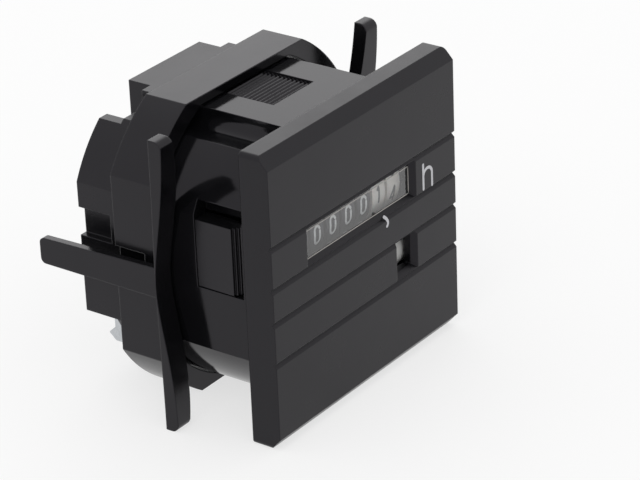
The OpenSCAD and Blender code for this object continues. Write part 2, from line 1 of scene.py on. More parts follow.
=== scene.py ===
# %% [markdown]
# # Dressing a panel hour meter
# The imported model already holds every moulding, wheel, gear and shaft. This
# lesson gives them their plastics and metals, draws the clamp frame and the
# terminals in a finer form, prints the digits on the wheels and the signs on the
# front, and lights the meter on a white table.

import bmesh
import bpy
import numpy as np
from mathutils import Matrix, Vector


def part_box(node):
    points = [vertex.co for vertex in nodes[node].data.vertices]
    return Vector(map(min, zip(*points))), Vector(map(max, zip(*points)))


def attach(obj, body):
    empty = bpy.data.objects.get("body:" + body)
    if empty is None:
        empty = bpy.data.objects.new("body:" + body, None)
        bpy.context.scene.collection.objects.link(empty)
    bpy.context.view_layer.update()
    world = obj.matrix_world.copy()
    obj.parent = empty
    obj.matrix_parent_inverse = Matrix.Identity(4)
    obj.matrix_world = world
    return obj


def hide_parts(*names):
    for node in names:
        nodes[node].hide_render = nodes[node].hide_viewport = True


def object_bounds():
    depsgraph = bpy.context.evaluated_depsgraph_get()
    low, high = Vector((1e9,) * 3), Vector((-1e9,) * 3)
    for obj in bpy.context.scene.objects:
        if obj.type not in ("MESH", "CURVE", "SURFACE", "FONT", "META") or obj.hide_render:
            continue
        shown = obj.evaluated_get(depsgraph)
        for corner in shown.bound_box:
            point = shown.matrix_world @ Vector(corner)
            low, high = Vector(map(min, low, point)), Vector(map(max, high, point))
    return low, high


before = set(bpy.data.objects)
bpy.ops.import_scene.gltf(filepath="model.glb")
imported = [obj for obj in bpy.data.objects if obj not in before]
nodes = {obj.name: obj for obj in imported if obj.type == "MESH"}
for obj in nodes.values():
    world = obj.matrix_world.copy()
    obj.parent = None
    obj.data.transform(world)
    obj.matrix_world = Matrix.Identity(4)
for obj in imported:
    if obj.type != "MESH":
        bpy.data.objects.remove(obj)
cad_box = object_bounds()
MM = 0.001

# %% [markdown]
# ## The camera
# The photograph was taken with a long lens from the front left and from above.
# The camera's place and its three directions were fitted to the corners of the
# square front, its grooves and the barrel, so they are plain numbers here.

# %% Place the camera
CAMERA_PLACE = (-336.036, -246.430, 204.794)
CAMERA_RIGHT = (0.58224689, -0.81216536, -0.03709438)
CAMERA_UP = (0.37805405, 0.23007236, 0.89673957)
CAMERA_FORWARD = (0.71976642, 0.53614750, -0.44100131)
FOCAL_PIXELS = 3055.0
PHOTO_WIDTH = 640
SENSOR_WIDTH = 36.0

camera_data = bpy.data.cameras.new("photo_camera")
camera_data.sensor_fit = "HORIZONTAL"
camera_data.sensor_width = SENSOR_WIDTH
camera_data.lens = FOCAL_PIXELS * SENSOR_WIDTH / PHOTO_WIDTH
camera_data.clip_start = 0.05
camera_data.clip_end = 20
camera = bpy.data.objects.new("photo_camera", camera_data)
bpy.context.scene.collection.objects.link(camera)
turn = Matrix((CAMERA_RIGHT, CAMERA_UP, [-c for c in CAMERA_FORWARD])).transposed()
camera.matrix_world = Matrix.Translation(Vector(CAMERA_PLACE) * MM) @ turn.to_4x4()
bpy.context.scene.camera = camera
bpy.context.scene.view_settings.view_transform = "Standard"
print("lens", round(camera_data.lens, 2), "mm")

# %% [markdown]
# ## Helpers for materials
# A colour is written as an sRGB hex value, as a colour picker shows it, and one
# function turns it to the linear value that the shader wants. One function adds
# a node, sets its settings and fills its inputs, and short ones make noises,
# blends and bumps with it, so that a material reads as a list of what happens on
# its surface.

# %% Colour and node helpers
COLOUR_A, COLOUR_B, COLOUR_OUT = 6, 7, 2
NOISE_LOW, NOISE_HIGH = 0.3, 0.7
WHITE = (1, 1, 1, 1)


def linear(code):
    """An sRGB hex colour as linear red, green, blue and alpha.

    A channel c is c / 12.92 up to 0.04045, and ((c + 0.055) / 1.055) to the power 2.4 above.
    """
    c = np.array([int(code[i:i + 2], 16) for i in (1, 3, 5)]) / 255
    values = np.where(c <= 0.04045, c / 12.92, ((c + 0.055) / 1.055) ** 2.4)
    return (*values.tolist(), 1.0)


def add_node(tree, kind, inputs=None, **settings):
    """Adds a node of this kind, with its settings, and fills inputs with values or links."""
    node = tree.nodes.new("ShaderNode" + kind)
    for name, value in settings.items():
        setattr(node, name, value)
    for name, value in (inputs or {}).items():
        socket = node.inputs[name]
        if isinstance(value, bpy.types.NodeSocket):
            tree.links.new(value, socket)
        else:
            socket.default_value = value
    return node


def new_material(name):
    """An empty material with its tree, its output and the place on the object in metres."""
    material = bpy.data.materials.new(name)
    material.use_nodes = True
    tree = material.node_tree
    tree.nodes.clear()
    output = add_node(tree, "OutputMaterial")
    return material, tree, output, add_node(tree, "TexCoord").outputs["Object"]


def surface(tree, output, inputs):
    """Puts the general surface shader, with these inputs, on the material."""
    shader = add_node(tree, "BsdfPrincipled", inputs)
    tree.links.new(shader.outputs["BSDF"], output.inputs["Surface"])


def noise(tree, place, size, detail):
    """A noise whose scale is one over the size of its patches, given in millimetres."""
    inputs = {"Vector": place, "Scale": 1 / (size * MM), "Detail": detail}
    return add_node(tree, "TexNoise", inputs).outputs["Fac"]


def between(tree, value, low, high, from_low=NOISE_LOW, from_high=NOISE_HIGH):
    """Stretches a value's span, which is a noise's usual one, to the span from low to high."""
    inputs = {"Value": value, "From Min": from_low, "From Max": from_high, "To Min": low, "To Max": high}
    return add_node(tree, "MapRange", inputs).outputs["Result"]


def maths(tree, operation, *values):
    """One sum on values or links."""
    return add_node(tree, "Math", dict(enumerate(values)), operation=operation).outputs[0]


def blend(tree, factor, first, second, **settings):
    """Two colours blended by a factor."""
    inputs = {"Factor": factor, COLOUR_A: first, COLOUR_B: second}
    return add_node(tree, "Mix", inputs, data_type="RGBA", **settings).outputs[COLOUR_OUT]


def shaded(tree, colour, value):
    """A hex colour multiplied by a value."""
    return blend(tree, 1.0, linear(colour), value, blend_type="MULTIPLY")


def bumped(tree, height, strength, depth, **more):
    """The normal of a surface that a height lifts by up to a depth in millimetres."""
    inputs = {"Height": height, "Strength": strength, "Distance": depth * MM, **more}
    return add_node(tree, "Bump", inputs).outputs["Normal"]


def give(material, *names):
    """Puts one material on these CAD nodes."""
    for name in names:
        slots = nodes[name].data.materials
        slots.clear()
        slots.append(material)
    print(material.name, "on", len(names), "nodes" if len(names) > 1 else "node")


# %% [markdown]
# ## Black moulded plastic
# The housing, the rear cover and the clamp frame are black glass-filled nylon
# or polycarbonate. A spark-eroded mould leaves a fine even grain, the flow of
# the plastic leaves faint soft patches, and each edge has a small radius that
# catches light. The real grain is about 0.05 mm, too fine to show, so it is
# drawn at 0.25 mm. The Bevel node rounds the edges for the shader, because the
# CAD solids keep their sharp edges, and the rounded edges are given a lighter
# colour, a painted highlight for the light they catch. The front face has the
# grain and is dull, and the barrel behind it is polished.

# %% Black plastic
PATCH_SIZE, GRAIN_SIZE, GRAIN_DEPTH = 7, 0.25, 0.02
FLAT, EDGE_TURN = 1.0, 0.6
FRONT_DEPTH = 0.2
SHINE = "#faf5ff"


def black_plastic(name, colour, edge_highlight_colour, roughness, ior, grain, edge, rear_roughness=None):
    """Moulded black plastic: colour patches, a grain bump and rounded edges in a lighter painted highlight
    colour.

    The share of the painted highlight, the lighter edge colour, grows from 0 to 1 as the dot
    product of the rounded and the true normal falls from 1 to 0.6. Where a rear roughness is given,
    roughness and grain are multiplied by rear roughness over roughness behind the panel face, at Y = 0.
    """
    material, tree, output, place = new_material(name)
    patches = noise(tree, place, PATCH_SIZE, 3.0)
    height = noise(tree, place, GRAIN_SIZE, 1.0)
    rounded = add_node(tree, "Bevel", {"Radius": edge * MM}, samples=6).outputs["Normal"]
    true_normal = add_node(tree, "NewGeometry").outputs["Normal"]
    facing = add_node(tree, "VectorMath", {0: rounded, 1: true_normal}, operation="DOT_PRODUCT")
    highlight_share = between(tree, facing.outputs["Value"], 0.0, 1.0, FLAT, EDGE_TURN)
    body = shaded(tree, colour, between(tree, patches, 0.85, 1.15))
    # Painted highlight: the rounded edges are blended towards the lighter edge colour, which stands in for
    # the light they catch.
    painted = blend(tree, highlight_share, body, linear(edge_highlight_colour))
    rough = between(tree, patches, roughness - 0.04, roughness + 0.05)
    if rear_roughness is not None:
        depth = add_node(tree, "SeparateXYZ", {"Vector": place}).outputs["Y"]
        behind = between(tree, depth, 1.0, rear_roughness / roughness, -FRONT_DEPTH * MM, 0.0)
        rough = maths(tree, "MULTIPLY", rough, behind)
        height = maths(tree, "MULTIPLY", height, behind)
    normal = bumped(tree, height, grain, GRAIN_DEPTH, Normal=rounded)
    surface(tree, output, {"Base Color": painted, "IOR": ior, "Roughness": rough,
                           "Specular Tint": linear(SHINE), "Normal": normal})
    return material


# The second colour of each plastic is the painted highlight on its rounded edges.
HOUSING_BLACK = black_plastic("Black polycarbonate moulding", "#0f0f11", "#1c1c1f", 0.3, 1.36, 0.3, 0.2, 0.11)
COVER_BLACK = black_plastic("Black polyamide moulded cover", "#101012", "#1e1e21", 0.24, 1.38, 0.3, 0.25)
CLAMP_BLACK = black_plastic("Black polyamide spring moulding", "#0e0e10", "#1c1c1f", 0.2, 1.38, 0.25, 0.3)
FRAME_BLACK = black_plastic("Black polycarbonate frame moulding",
                            "#121214", "#202023", 0.22, 1.38, 0.25, 0.15)
WHEEL_BLACK = black_plastic("Black acetal number wheels", "#232326", "#36363a", 0.45, 1.4, 0.2, 0.08)
give(HOUSING_BLACK, "front_housing")
give(COVER_BLACK, "rear_cover")
give(CLAMP_BLACK, "clamp_frame")
give(FRAME_BLACK, "counter_frame", *[f"transfer_plate_{i}" for i in range(1, 7)])
give(WHEEL_BLACK, "drive_gear", *[f"number_wheel_{i}" for i in range(1, 6)])

# %% [markdown]
# ## Pale plastics
# The gears, the bobbin and the white wheels are moulded in nylon or acetal: a
# creamy, slightly waxy plastic that lets a little light in under its surface.

# %% Pale plastic
def pale_plastic(name, colour, roughness, glow, patch):
    """Moulded nylon or acetal: patches in the colour and a soft glow under the surface."""
    material, tree, output, place = new_material(name)
    body = shaded(tree, colour, between(tree, noise(tree, place, patch, 3.0), 0.93, 1.04))
    normal = bumped(tree, noise(tree, place, 0.2, 1.0), 0.2, GRAIN_DEPTH)
    surface(tree, output, {"Base Color": body, "Roughness": roughness, "IOR": 1.5,
                           "Subsurface Weight": glow, "Subsurface Scale": 0.4 * MM, "Normal": normal})
    return material


GEAR_NYLON = pale_plastic("Natural acetal moulded gears", "#d9d2bf", 0.45, 0.15, 3.0)
BOBBIN_NYLON = pale_plastic("Natural polyamide bobbin", "#cfc8b0", 0.5, 0.1, 3.0)
PINION_ACETAL = pale_plastic("Tan acetal moulded pinions", "#c2ab7a", 0.45, 0.1, 2.0)
WHEEL_WHITE = pale_plastic("White acetal number wheels", "#e6e0d8", 0.5, 0.1, 3.0)
give(GEAR_NYLON, "reduction_gear_1", "reduction_gear_2", "reduction_gear_3")
give(BOBBIN_NYLON, "coil_bobbin")
give(PINION_ACETAL, *[f"transfer_pinion_{i}" for i in range(1, 7)])
give(WHEEL_WHITE, "number_wheel_6", "number_wheel_7")

# %% [markdown]
# ## Metals
# Ground shafts, pressed and plated sheet, tinned strips and the ferrite magnet.
# Grinding and rolling leave fine lines in one direction, so a noise is
# stretched along that direction and used for roughness and a slight bump.

# %% Metals
def lined_metal(name, colour, roughness, stretch, line, metallic):
    """Metal with tool lines: a noise squeezed across the lines varies gloss and height."""
    material, tree, output, place = new_material(name)
    lined = add_node(tree, "Mapping", {"Vector": place, "Scale": stretch}).outputs["Vector"]
    lines = noise(tree, lined, line, 2.0)
    surface(tree, output, {"Base Color": shaded(tree, colour, between(tree, lines, 0.9, 1.05)),
                           "Metallic": metallic,
                           "Roughness": between(tree, lines, roughness - 0.06, roughness + 0.08),
                           "Normal": bumped(tree, lines, 0.15, 0.01)})
    return material


GROUND_STEEL = lined_metal("Ground steel shafts", "#b4b6ba", 0.28, (0.1, 1, 1), 0.1, 1.0)
PRESSED_STEEL = lined_metal("Pressed galvanised sheet", "#9a9da1", 0.38, (1, 0.2, 1), 0.3, 1.0)
PLATED_STEEL = lined_metal("Zinc plated screws", "#b9bcc2", 0.3, (1, 1, 1), 0.4, 1.0)
TINNED_BRASS = lined_metal("Tin plated brass strip", "#c3c6c9", 0.3, (1, 1, 0.1), 0.15, 1.0)
FERRITE = lined_metal("Ground ferrite magnet", "#3c3836", 0.5, (0.2, 1, 1), 0.2, 0.0)
give(GROUND_STEEL, "wheel_axle", "gear_studs", "rotor_shaft")
give(PRESSED_STEEL, "stator_cup_left", "stator_cup_right", "pinion_rail")
give(PLATED_STEEL, "terminal_screws")
give(TINNED_BRASS, "terminal_left", "terminal_right")
give(FERRITE, "rotor_magnet")

# %% [markdown]
# ## Enamelled wire
# The coil is wound with fine enamelled copper wire, side by side along the
# bobbin. Real turns lie 0.12 mm apart, and the wave along X draws them 0.3 mm
# apart. At scale 1 the wave texture makes about 3.2 waves in a metre. Each
# turn is painted lighter on its crown and darker towards the next turn, a
# painted shade in the grooves between the round wires.

# %% Copper winding
TURN_PITCH = 0.3
WAVES_PER_METRE = 3.2
winding, tree, output, place = new_material("Enamelled copper wire")
turns = add_node(tree, "TexWave", {"Vector": place, "Scale": 1 / (TURN_PITCH * MM) / WAVES_PER_METRE,
                                   "Distortion": 0.4},
                 wave_type="BANDS", bands_direction="X", wave_profile="SIN").outputs["Fac"]
# Painted shade: the dark end of the ramp falls in the grooves between turns, and the light end on their
# crowns.
turn_light_and_shade = add_node(tree, "ValToRGB", {"Fac": turns})
turn_light_and_shade.color_ramp.elements[0].color = linear("#6d3312")
turn_light_and_shade.color_ramp.elements[1].color = linear("#c0682c")
surface(tree, output, {"Base Color": turn_light_and_shade.outputs["Color"], "Metallic": 0.6, "Roughness": 0.35,
                       "Normal": bumped(tree, turns, 0.6, 0.06)})
give(winding, "coil_winding")

# %% [markdown]
# ## The clear lens
# Clear moulded acrylic. Both of its faces mirror the pale table, which veils
# the black wheels with grey, so the look is a mirror laid over clear glass: a
# Fresnel share of gloss over transparency. It has no refraction, so light still
# reaches the digits. Both mirrors are drawn on the face where a ray goes in, and
# the face where it goes out adds nothing.

# %% Lens
TWO_FACES = 1.8
lens, tree, output, place = new_material("Clear acrylic moulded lens")
rounded = add_node(tree, "Bevel", {"Radius": 0.2 * MM}, samples=6).outputs["Normal"]
share = add_node(tree, "Fresnel", {"IOR": 1.49, "Normal": rounded}).outputs["Fac"]
entering = maths(tree, "SUBTRACT", 1.0, add_node(tree, "NewGeometry").outputs["Backfacing"])
veil = maths(tree, "MULTIPLY", maths(tree, "MULTIPLY", share, entering), TWO_FACES)
clear = add_node(tree, "BsdfTransparent", {"Color": linear("#f4f5f6")})
rough = between(tree, noise(tree, place, 4, 2.0), 0.03, 0.08)
gloss = add_node(tree, "BsdfGlossy", {"Color": WHITE, "Roughness": rough, "Normal": rounded})
mixed = add_node(tree, "MixShader", {"Fac": veil, 1: clear.outputs["BSDF"], 2: gloss.outputs["BSDF"]})
tree.links.new(mixed.outputs["Shader"], output.inputs["Surface"])
give(lens, "window_lens")

# %% [markdown]
# ## Printed marks
# Digits and signs are tampo printed: a thin film of ink with an even stroke.
# Each stroke is a line of points, and a ribbon is swept along it with rounded
# ends. The flat ribbon is then wrapped round its wheel or laid on the front.

# %% Strokes
LINE_POINTS = 6
SHORTEST = 1e-9
END_SHARE = 0.02
TOP_FALL = 0.8


def arc(cx, cz, rx, rz, start, end, count=20):
    """Points on an ellipse about (cx, cz) from one angle to another, in degrees."""
    a = np.radians(np.linspace(start, end, count))
    return np.stack([cx + rx * np.cos(a), cz + rz * np.sin(a)], 1)


def line(*points):
    """Points along straight lines between the given points."""
    p = np.array(points, float)
    share = np.linspace(0, 1, LINE_POINTS, endpoint=False)[None, :, None]
    steps = p[:-1, None] + (p[1:] - p[:-1])[:, None] * share
    return np.vstack([steps.reshape(-1, 2), p[-1:]])


DIGITS = [
    [np.vstack([arc(0, 0.85, 0.95, 0.95, 0, 180), arc(0, -0.85, 0.95, 0.95, 180, 360), [[0.95, 0.85]]])],
    [line((-0.6, 1.1), (0.15, 1.8), (0.15, -1.8))],
    [np.vstack([arc(0, 0.85, 0.92, 0.95, 165, -35), line((-0.95, -1.8), (0.95, -1.8))])],
    [np.vstack([arc(0, 0.92, 0.85, 0.88, 150, -90), arc(0, -0.88, 0.95, 0.92, 90, -150)])],
    [line((0.4, -1.8), (0.4, 1.8), (-0.95, -0.75), (0.95, -0.75))],
    [np.vstack([line((0.8, 1.8), (-0.7, 1.8), (-0.85, 0.1)), arc(0, -0.7, 0.95, 1.1, 130, -150)])],
    [np.vstack([arc(0.1, -0.3, 1.05, 2.1, 75, 190), arc(0, -0.85, 0.95, 0.95, 190, 520)])],
    [line((-0.95, 1.8), (0.95, 1.8), (-0.3, -1.8))],
    [arc(0, 0.95, 0.8, 0.85, 0, 360), arc(0, -0.87, 0.95, 0.93, 0, 360)],
    [-np.vstack([arc(0.1, -0.3, 1.05, 2.1, 75, 190), arc(0, -0.85, 0.95, 0.95, 190, 520)])],
]


def shell_faces(count):
    """The quads between sections of four corners each, and one on each end."""
    i = np.arange(count - 1)[:, None]
    k = np.arange(4)[None, :]
    near, far = i * 4, (i + 1) * 4
    quads = np.stack([near + k, near + (k + 1) % 4, far + (k + 1) % 4, far + k], -1).reshape(-1, 4)
    return np.vstack([quads, [[3, 2, 1, 0], np.arange(4) + 4 * (count - 1)]])


def ribbon(path, width, thick, lift=0.0):
    """A ribbon swept along a flat path, as points (u, v, height) and its faces.

    Each cross section is a rectangle across the path. Half its width is the full
    half width times the root of 1 - t squared, where t runs from 1 at an end of
    the path to 0 half a width inside it, which rounds the ends. Its top falls a
    little along the path and can be lifted, so that no two tops lie in one plane
    where strokes cross.
    """
    step = np.gradient(path, axis=0)
    along = step / np.maximum(np.linalg.norm(step, axis=1, keepdims=True), SHORTEST)
    across = np.stack([-along[:, 1], along[:, 0]], 1)
    length = np.concatenate([[0], np.cumsum(np.linalg.norm(np.diff(path, axis=0), axis=1))])
    inside = np.minimum(length, length[-1] - length)
    t = np.clip(1 - inside / (width / 2), 0, 1)
    half = (width / 2 * np.sqrt(np.maximum(1 - t ** 2, END_SHARE)))[:, None]
    left, right = path + across * half, path - across * half
    count = len(path)
    top = lift + thick * np.linspace(1.0, TOP_FALL, count)
    rings = np.stack([np.column_stack([left, np.zeros(count)]), np.column_stack([right, np.zeros(count)]),
                      np.column_stack([right, top]), np.column_stack([left, top])], 1)
    return rings.reshape(-1, 3), shell_faces(count)


def resample(path, step):
    """The same path with points an even step apart, so that ends and bends are smooth."""
    length = np.concatenate([[0], np.cumsum(np.linalg.norm(np.diff(path, axis=0), axis=1))])
    even = np.linspace(0, length[-1], max(8, int(length[-1] / step)))
    return np.stack([np.interp(even, length, path[:, 0]), np.interp(even, length, path[:, 1])], 1)


def printed(name, parts, material, body):
    """One piece from several (points, faces), in metres, that rides on a body."""
    offset, points, faces = 0, [], []
    for p, f in parts:
        points.append(p)
        faces.append(f + offset)
        offset += len(p)
    mesh = bpy.data.meshes.new(name)
    mesh.from_pydata(np.vstack(points).tolist(), [], np.vstack(faces).tolist())
    mesh.materials.append(material)
    mesh.update()
    piece = bpy.data.objects.new(name, mesh)
    bpy.context.scene.collection.objects.link(piece)
    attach(piece, body)
    return piece


# %% [markdown]
# ## Lofts
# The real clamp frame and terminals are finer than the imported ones, so they are
# drawn again here, in millimetres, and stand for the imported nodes. Each part is
# a loft: the same four corners at every section, joined to the next.

# %% Lofts
SHARP_EDGE = 28


def loft(sections):
    """Points and quads through sections of four corners each, with both ends capped."""
    sections = np.asarray(sections, float)
    return sections.reshape(-1, 3) * MM, shell_faces(len(sections))


def block(low, high):
    """A box from its lowest to its highest corner, as a loft along Y."""
    return loft([[(low[0], y, low[2]), (high[0], y, low[2]), (high[0], y, high[2]), (low[0], y, high[2])]
                 for y in (low[1], high[1])])


def mirrored(part, axis):
    """The same part on the other side of the middle, across one axis."""
    points = part[0].copy()
    points[:, axis] *= -1
    return points, part[1][:, ::-1]


def moulding(name, parts, material, body, *replaced):
    """One piece of closed parts, which stands for CAD nodes.

    Its faces are turned outwards, and its bends of less than 28 degrees are smooth.
    """
    piece = printed(name, parts, material, body)
    shell = bmesh.new()
    shell.from_mesh(piece.data)
    bmesh.ops.recalc_face_normals(shell, faces=shell.faces)
    shell.to_mesh(piece.data)
    shell.free()
    piece.data.shade_smooth()
    piece.data.set_sharp_from_angle(angle=np.radians(SHARP_EDGE))
    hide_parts(*replaced)
    print(name, "of", len(parts), "parts")


# %% [markdown]
# ## The clamp frame
# One springy moulding: a ring round the barrel, an arm on each side that bows
# forward from its middle to its rounded tips, a release lever that runs to the
# rear through a slot in the ring, and a row of pawls at the top and the bottom.

# %% Ring
RING_RADIUS, RING_FLAT = 28.3, 24.2
BORE_RADIUS, BORE_FLAT = 25.3, 22.8
RING_START, SLOT_START, RING_END = 16.6, 18.6, 24.2
SLOT_HALF = 3.0
ROUND_STEPS = 14
RIGHT_SLOT, LEFT_SLOT = 11, 5


def flatted(degrees, radius, flat):
    """A point of a circle with four flats: the radius, or flat over the larger of |cos| and |sin|."""
    c, s = np.cos(np.radians(degrees)), np.sin(np.radians(degrees))
    reach = min(radius, flat / max(abs(c), abs(s)))
    return reach * c, reach * s


def outline(radius, flat):
    """Angles round one outline of the ring, from the right slot's top, and where the slots are."""
    meet = np.degrees(np.arccos(flat / radius))
    edge = np.degrees(np.arctan2(SLOT_HALF, flat))
    keys = [edge, meet, 90 - meet, 90 + meet, 180 - meet, 180 - edge, 180 + edge, 180 + meet,
            270 - meet, 270 + meet, 360 - meet, 360 - edge, 360 + edge]
    steps = [1, ROUND_STEPS, 1, ROUND_STEPS, 1, 1, 1, ROUND_STEPS, 1, ROUND_STEPS, 1, 1]
    angles = np.concatenate([np.linspace(a, b, n, endpoint=False) for a, b, n in zip(keys, keys[1:], steps)])
    slot = np.repeat([i in (LEFT_SLOT, RIGHT_SLOT) for i in range(len(steps))], steps)
    return angles, slot


def ring():
    """The ring with a slot open to the rear on each side, as one closed shell.

    Each angle has six points: outer and inner at the front, where the slots start
    and at the rear.
    """
    outer, slot = outline(RING_RADIUS, RING_FLAT)
    inner, _ = outline(BORE_RADIUS, BORE_FLAT)
    points, quads, count = [], [], len(outer)
    for a, b in zip(outer, inner):
        (ox, oz), (ix, iz) = flatted(a, RING_RADIUS, RING_FLAT), flatted(b, BORE_RADIUS, BORE_FLAT)
        for y in (RING_START, SLOT_START, RING_END):
            points += [(ox, y, oz), (ix, y, iz)]
    for i in range(count):
        a, b = i * 6, (i + 1) % count * 6
        quads.append((a, a + 1, b + 1, b))
        quads += [(a + side, b + side, b + side + 2, a + side + 2) for side in (0, 1)]
        if slot[i]:
            quads.append((a + 2, a + 3, b + 3, b + 2))
        else:
            quads += [(a + side + 2, b + side + 2, b + side + 4, a + side + 4) for side in (0, 1)]
            quads.append((a + 4, a + 5, b + 5, b + 4))
        if slot[i] != slot[i - 1]:
            quads.append((a + 2, a + 3, a + 5, a + 4))
    return np.array(points) * MM, np.array(quads)


print("ring", RING_END - RING_START, "mm long")

# %% Arms, levers and pawls
ARM_HALF, ARM_ROUND, ARM_OUT, ARM_EASE = 24.0, 1.3, 27.5, 0.2
ARM_STEPS, TIP_STEPS = 24, 9
ARM_MIDDLE = {"inner": 22.75, "out_front": 14.05, "out_back": 14.1, "in_front": 14.9, "in_back": 16.7}
ARM_TIP = {"inner": 24.7, "out_front": 11.45, "out_back": 13.8, "in_front": 11.45, "in_back": 13.8}
LEVER_START, LEVER_END, LEVER_THICK, LEVER_ROUND = 14.5, 37.1, 1.2, 0.9
LEVER_OUT_ROOT, LEVER_OUT_TIP = 26.35, 26.7
LEVER_HALF_ROOT, LEVER_HALF_TIP = 2.5, 2.15
LEVER_STEPS = 8
PAWL_HALF, PAWL_START, PAWL_PITCH, PAWL_TEETH = 4.5, 18.62, 0.78, 4
PAWL_DEEP, PAWL_SHALLOW, PAWL_HIGH = 22.3, 22.85, 22.9


def arm():
    """The right spring arm, from its section at the middle to the one at its tips.

    With s = root(h h + k k) - k as a share of its greatest value, where h is the
    height as a share, the way is the sine of s quarter turns, which bows the arm.
    The inner face takes h h instead, so it leaves the barrel late.
    """
    near_tip = ARM_HALF - ARM_ROUND + ARM_ROUND * np.sin(np.linspace(0, np.pi / 2, TIP_STEPS))
    half = np.concatenate([np.linspace(0, ARM_HALF - ARM_ROUND, ARM_STEPS)[:-1], near_tip])
    z = np.concatenate([-half[:0:-1], half])
    height = np.abs(z) / ARM_HALF
    eased = (np.hypot(height, ARM_EASE) - ARM_EASE) / (np.hypot(1, ARM_EASE) - ARM_EASE)
    bow = np.sin(np.pi / 2 * eased)
    at = {key: ARM_MIDDLE[key] + (ARM_TIP[key] - ARM_MIDDLE[key]) * (height ** 2 if key == "inner" else bow)
          for key in ARM_MIDDLE}
    rise = np.clip((np.abs(z) - ARM_HALF + ARM_ROUND) / ARM_ROUND, 0, 1)
    tip = ARM_TIP["out_front"] + ARM_ROUND * (1 - np.sqrt(1 - rise ** 2))
    front, inner_front = np.maximum(at["out_front"], tip), np.maximum(at["in_front"], tip)
    return loft([[(ARM_OUT, f, h), (ARM_OUT, g, h), (c, k, h), (c, i, h)] for f, g, c, k, i, h in
                 zip(front, at["out_back"], at["inner"], at["in_back"], inner_front, z)])


def lever():
    """The right release lever, which leaves the arm's middle and ends in a rounded tip."""
    quarter = np.linspace(0, np.pi / 2, LEVER_STEPS)
    run = np.concatenate([[LEVER_START], LEVER_END - LEVER_ROUND + LEVER_ROUND * np.sin(quarter)])
    trim = np.concatenate([[0], LEVER_ROUND * (1 - np.cos(quarter))])
    share = (run - LEVER_START) / (LEVER_END - LEVER_START)
    x = LEVER_OUT_ROOT + (LEVER_OUT_TIP - LEVER_OUT_ROOT) * share
    half = LEVER_HALF_ROOT + (LEVER_HALF_TIP - LEVER_HALF_ROOT) * share - trim
    return loft([[(a, y, h), (a - LEVER_THICK, y, h), (a - LEVER_THICK, y, -h), (a, y, -h)]
                 for a, y, h in zip(x, run, half)])


def pawls():
    """The upper row of pawls: ramps under the ring, deep at the front, that fit the rack."""
    ramps = []
    for i in range(PAWL_TEETH):
        start = PAWL_START + i * PAWL_PITCH
        ramps.append(loft([[(-PAWL_HALF, y, PAWL_HIGH), (PAWL_HALF, y, PAWL_HIGH),
                            (PAWL_HALF, y, z), (-PAWL_HALF, y, z)]
                           for y, z in ((start, PAWL_DEEP), (start + PAWL_PITCH, PAWL_SHALLOW))]))
    return ramps


parts = [ring(), arm(), mirrored(arm(), 0), lever(), mirrored(lever(), 0)]
parts += [part for ramp in pawls() for part in (ramp, mirrored(ramp, 2))]
moulding("clamp_moulding", parts, CLAMP_BLACK, "clamp", "clamp_frame")

# %% [markdown]
# ## The terminals
# Each terminal is a bent strip: a plate under the screw, a leg that goes down
# inside the cover, and a pointed blade that stands out of the open lower corner.

# %% Terminals
STRIP_THICK, LEG_INSET = 0.8, 1.9
BLADE_LOW, BLADE_WIDTH, BLADE_REACH = -20.4, 4.8, 2.8
BLADE_POINT, POINT_HALF = 1.2, 0.1
COVER_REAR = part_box("rear_cover")[1].y / MM
low, high = (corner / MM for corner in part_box("terminal_right"))
leg_low = (high.x - STRIP_THICK, low.y, BLADE_LOW)
leg_high = (high.x, COVER_REAR - LEG_INSET, high.z)
shoulder = COVER_REAR + BLADE_REACH - BLADE_POINT
blade = [(COVER_REAR - LEG_INSET, 0.0, BLADE_WIDTH), (shoulder, 0.0, BLADE_WIDTH),
         (shoulder, 0.0, 2 * BLADE_POINT),
         (COVER_REAR + BLADE_REACH, BLADE_POINT - POINT_HALF, BLADE_POINT + POINT_HALF)]
blade = [[(leg_low[0], y, BLADE_LOW + a), (leg_high[0], y, BLADE_LOW + a),
          (leg_high[0], y, BLADE_LOW + b), (leg_low[0], y, BLADE_LOW + b)] for y, a, b in blade]
plate = block((low.x, low.y, high.z - STRIP_THICK), (leg_low[0], high.y, high.z))
strip = [block(leg_low, leg_high), plate, loft(blade)]
other_strip = [mirrored(part, 0) for part in strip]
moulding("terminal_strip_right", strip, TINNED_BRASS, "housing", "terminal_right")
moulding("terminal_strip_left", other_strip, TINNED_BRASS, "housing", "terminal_left")

# %% [markdown]
# ## Digits on the wheels
# Ten digits stand round each wheel, one every 36 degrees. A point of a digit
# goes to the angle that its height makes on the rim, height over radius, so
# the ink follows the curve. Five wheels read nought, and the two white wheels
# stand at one and just past four, as when the meter was last stopped.

# %% Print the wheels
INK_THICK, INK_SUNK, INK_WIDTH, INK_PATCH = 0.03, 0.01, 0.42, 0.6
STROKE_LIFT, STROKE_STEP = 0.004, 0.12
DIGIT_TURN = 36
DIGIT_SHARES = (0.68, 0.78)
DIGIT_DROP = -0.25
low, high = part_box("number_wheel_7")
WHEEL_RADIUS = (high.z - low.z) / 2 / MM
FIRST_WHITE = 6
READING = [0, 0, 0, 0, 0, 1, 4.3]


def ink(name, colour, roughness):
    """Tampo ink: a slightly uneven film, a little darker where it is thin."""
    material, tree, output, place = new_material(name)
    film = between(tree, noise(tree, place, INK_PATCH, 3.0), 0.9, 1.03)
    surface(tree, output, {"Base Color": shaded(tree, colour, film), "Roughness": roughness})
    return material


WHITE_INK = ink("White tampo ink", "#e6e6e4", 0.5)
DARK_INK = ink("Dark grey tampo ink", "#2c2c2e", 0.5)


def wrap(points, middle_x, axis, radius, turn):
    """Flat points laid round a wheel: the angle is height over radius plus the turn."""
    angle = points[:, 1] / radius + np.radians(turn)
    r = radius + points[:, 2]
    return np.stack([middle_x + points[:, 0], axis[0] - r * np.cos(angle), axis[1] + r * np.sin(angle)], 1)


